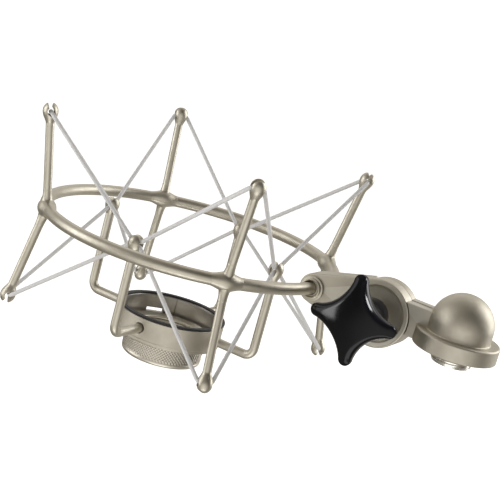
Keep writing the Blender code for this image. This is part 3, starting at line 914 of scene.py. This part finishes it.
def star_outline(inset):
    """Four round lobe ends joined by hollow arcs that touch them."""
    half = LOBE_REACH / math.sqrt(2)
    inside = VALLEY - LOBE_END
    far = (LOBE_REACH**2 - inside**2) / (2 * (half - inside))
    hollow = far - VALLEY + inset
    touch = math.degrees(math.atan2(far / math.sqrt(2), far / math.sqrt(2) - LOBE_REACH))
    outline = []
    for quarter in range(4):
        turn = 90 * quarter + KNOB_TURN
        x, y = LOBE_REACH * math.cos(math.radians(turn)), LOBE_REACH * math.sin(math.radians(turn))
        outline += list(arc(x, y, LOBE_END + 0.12 - inset, turn - touch, turn + touch, 15))
        diagonal = math.radians(turn + 45)
        x, y = far * math.cos(diagonal), far * math.sin(diagonal)
        back_turn, spread = turn + 225, touch - 45
        outline += list(arc(x, y, hollow, back_turn + spread, back_turn - spread, 21))[1:-1]
    return outline


middle = (STAR_FRONT + STAR_BACK) / 2
star = slab(
    star_outline,
    edge_levels((STAR_FRONT - STAR_BACK) / 2 + 0.05, KNOB_EDGE, KNOB_RISE, 8),
    swivel @ Matrix.Translation((0, 0, middle)),
)
hub_profile = rounded(
    [
        (0, STAR_BACK + 2), (HUB + 0.9, STAR_BACK + 0.6, 1), (HUB + 0.05, STAR_BACK - 1.8, 1.5),
        (HUB + 0.05, HUB_BACK, 0.6), (0, HUB_BACK),
    ],
    0.6,
)
knob = melt(make("clamp_knob_moulded", [star, turned(hub_profile, swivel, 64)]), KNOB_VOXEL, 8)
axis = CENTRE + Vector((SWIVEL, 0, 0)) * MM
for vertex in knob.data.vertices:
    reach = math.hypot(vertex.co.x - axis.x, vertex.co.z - axis.z) / ((LOBE_REACH + LOBE_END) * MM)
    front = max(0.0, (-vertex.co.y / MM - middle) / (STAR_FRONT - middle))
    vertex.co.y += KNOB_DOME * MM * reach**2 * min(1.0, front)
carve(knob, cylinder(BOLT + GAP, 0, STAR_BACK - 2, swivel))
dress(knob, "clamp_knob", "clamp_knob", "black_plastic", sharp=50, weighted=False)


# ---------------------------------------------------------------- stand head

disc = turned(
    rounded(
        [
            (BOLT + GAP, -LAP - 1.5, 0.1), (WASHER_SEAT, -LAP - 1.5, 0.1),
            (WASHER_SEAT, -LAP - GAP, 0.1), (DISC, -LAP - GAP, 0.3),
            (DISC, -PLATE, 0.6), (BOLT + GAP, -PLATE, 0.3),
        ],
        closed=True,
    ),
    swivel, 128, True,
)
dome_profile = [(0, DOME_CENTRE + DOME)]
for degrees in range(4, 91, 4):
    a = math.radians(degrees)
    dome_profile.append((DOME * math.sin(a), DOME_CENTRE + DOME * math.cos(a)))
dome_profile += [(DOME, FLANGE_TOP + 0.6)] + list(arc(DOME + 0.5, FLANGE_TOP + 0.5, 0.5, 180, 270, 6))
dome_profile += list(arc(FLANGE - 0.8, FLANGE_TOP - 0.6, 0.8, 90, 0, 6))
dome_profile += list(arc(FLANGE - 0.5, FLANGE_BOTTOM + 0.5, 0.5, 0, -90, 5))
dome_profile += [
    (SLEEVE + 0.7, FLANGE_BOTTOM), (SLEEVE + GAP, FLANGE_BOTTOM + 0.4), (SLEEVE + GAP, 7.0), (0, 7.0),
]
dome = turned(dome_profile, spot(HEAD, 0, 0), 160)
tongue = make("tongue", [block((SWIVEL + 2, -PLATE, FLANGE_BOTTOM), (HEAD - 5, PLATE, TONGUE_TOP))])
bevel = tongue.modifiers.new("edges", "BEVEL")
bevel.width, bevel.segments = 0.5 * MM, 4
settled(tongue)
carve(
    tongue,
    cylinder(DISC + 0.4, -LAP - GAP, PLATE + 2, swivel, 128),
    cylinder(DISC - 1.0, -PLATE - 2, -LAP, swivel, 128),
    block((SWIVEL + 10, -0.6, 5.2), (HEAD - DOME - 0.5, 0.6, TONGUE_TOP + 1)),
)
head = make("stand_head_cast", [disc, dome])
head_mesh = bmesh.new()
head_mesh.from_mesh(head.data)
head_mesh.from_mesh(tongue.data)
head_mesh.to_mesh(head.data)
head_mesh.free()
bpy.data.objects.remove(tongue)
dress(head, "stand_head", "stand_head", "nickel_casting", sharp=30)


def threaded_sleeve():
    """The thread adapter: a fine thread outside and the stand's thread inside; the key slot is cut
    afterwards.
    """
    steps, rise = 96, 0.12
    outside = [(SLEEVE - 0.5, 6.4)] + [(SLEEVE, 5.9 - rise * k) for k in range(int((5.9 + 8.0) / rise))]
    outside += [(SLEEVE - 0.6, SLEEVE_MOUTH), (SLEEVE_BORE + 0.6, SLEEVE_MOUTH)]
    inside = [(SLEEVE_BORE, -8.0 + rise * k) for k in range(int((6.3 + 8.0) / rise))]
    inside += [(SLEEVE_BORE, 6.4)]
    points, faces = turned(outside + inside, steps=steps, closed=True)
    for i, point in enumerate(points):
        radius = math.hypot(point[0], point[1])
        turn = math.atan2(point[1], point[0]) / (2 * math.pi)
        for base, pitch, depth, way in (
            (SLEEVE, OUTSIDE_PITCH, OUTSIDE_DEPTH, -1),
            (SLEEVE_BORE, INSIDE_PITCH, INSIDE_DEPTH, 1),
        ):
            if abs(radius - base) < 0.01 and -7.8 < point[2] < 5.7:
                tooth = abs(2 * ((point[2] / pitch - turn) % 1) - 1)
                scale = 1 + way * depth * tooth / base
                points[i] = Vector((point[0] * scale, point[1] * scale, point[2]))
    return moved((points, faces), spot(HEAD, 0, 0))


adapter = make("thread_adapter_turned", [threaded_sleeve()])
carve(adapter, block((-10, -0.9, SLEEVE_MOUTH - 1), (10, 0.9, SLEEVE_MOUTH + 1.8), spot(HEAD, 0, 0)))
dress(adapter, "thread_adapter", "stand_head", "bright_steel", sharp=35, weighted=False)


# ---------------------------------------------------------------- stage and light


LIT = CENTRE + Vector((0.04, 0, 0))


def soft_box(name, direction, distance, size, power):
    """A soft light that looks at the middle of the mount.

    Its direction is in the main view's own axes: right, up and towards the viewer."""
    lamp = bpy.data.lights.new(name, "AREA")
    lamp.shape = "RECTANGLE"
    lamp.size, lamp.size_y = size
    lamp.energy = power
    holder = bpy.data.objects.new(name, lamp)
    scene.collection.objects.link(holder)
    way = (right * direction[0] + up * direction[1] + back * direction[2]).normalized()
    holder.location = LIT + way * distance
    holder.rotation_euler = way.to_track_quat("Z", "Y").to_euler()
    return holder


soft_box("key", (-0.93, 0.34, 0.20), 1.0, (0.7, 0.9), 4.3)
soft_box("side", (0.93, 0.20, -0.28), 0.9, (0.6, 0.9), 4.4)
soft_box("low", (-0.2, -0.9, 0.35), 0.9, (0.7, 0.35), 1.7)
# The knob is black and glossy, so it has two small boxes of its own.
gloss = bpy.data.collections.new("gloss")
gloss.objects.link(knob)
for name, direction, size, power in (
    ("knob_window", (-0.91, 0.04, 0.36), (0.22, 0.34), 1.9),
    ("knob_glint", (0.80, 0.45, 0.40), (0.4, 0.3), 14.0),
):
    soft_box(name, direction, 0.9, size, power).light_linking.receiver_collection = gloss

world = bpy.data.worlds.new("studio")
scene.world = world
world.use_nodes = True
tree = world.node_tree
direction = tree.nodes.new("ShaderNodeTexCoord").outputs["Generated"]


def facing(way, low, high, amount):
    """How much of a light patch a direction sees: nothing below low, amount above high."""
    dot = add_node(tree, "ShaderNodeVectorMath", operation="DOT_PRODUCT")
    tree.links.new(direction, dot.inputs[0])
    dot.inputs[1].default_value = (right * way[0] + up * way[1] + back * way[2]).normalized()
    node = tree.nodes.new("ShaderNodeMapRange")
    node.interpolation_type = "SMOOTHSTEP"
    for name, number in zip(RANGE_SOCKETS, (low, high, 0, amount)):
        node.inputs[name].default_value = number
    tree.links.new(dot.outputs["Value"], node.inputs["Value"])
    return node.outputs[0]


# Soft light from behind, the left, above, below and the front
patches = [
    facing((0.45, 0.15, -0.9), -0.1, 0.8, 0.62),
    facing((-0.9, 0.15, 0.4), 0.0, 1.0, 0.27),
    facing((-0.2, 1, 0.0), 0.35, 0.95, 0.32),
    facing((-0.3, -1, 0.4), 0.1, 0.9, 0.38),
    facing((0.1, -0.45, 0.9), 0.45, 1.0, 0.56),
]
total = patches[0]
for patch in patches[1:]:
    added = add_node(tree, "ShaderNodeMath", operation="ADD", use_clamp=True)
    tree.links.new(total, added.inputs[0])
    tree.links.new(patch, added.inputs[1])
    total = added.outputs[0]
tones = tree.nodes.new("ShaderNodeValToRGB")
tones.color_ramp.elements[0].color = (0.016, 0.012, 0.009, 1)
tones.color_ramp.elements[1].color = (1.25, 1.23, 1.19, 1)
middle_tone = tones.color_ramp.elements.new(0.45)
middle_tone.color = (0.35, 0.33, 0.295, 1)
tree.links.new(total, tones.inputs["Fac"])
tree.links.new(tones.outputs["Color"], tree.nodes["Background"].inputs["Color"])
tree.nodes["Background"].inputs["Strength"].default_value = 1.0

sweep_profile = [(0, STAGE_FLOOR), (STAGE_RADIUS, STAGE_FLOOR)]
sweep_profile += arc(STAGE_RADIUS, STAGE_FLOOR + STAGE_CURVE, STAGE_CURVE, -90, 0, 12)
sweep_profile += [(STAGE_RADIUS + STAGE_CURVE, STAGE_TOP)]
sweep = make("sweep", [turned(sweep_profile, steps=64)])
sweep.data.shade_smooth()
backdrop = bpy.data.materials.new("pale_backdrop")
backdrop.use_nodes = True
paper = backdrop.node_tree.nodes["Principled BSDF"]
paper.inputs["Base Color"].default_value = (0.85, 0.85, 0.85, 1)
paper.inputs["Roughness"].default_value = 0.9
paper.inputs["Emission Color"].default_value = (1, 1, 1, 1)
paper.inputs["Emission Strength"].default_value = 0.72
sweep.data.materials.append(backdrop)
sweep.visible_glossy = False
sweep.visible_diffuse = False

scene.view_settings.view_transform = "Standard"
scene.view_settings.look = "None"
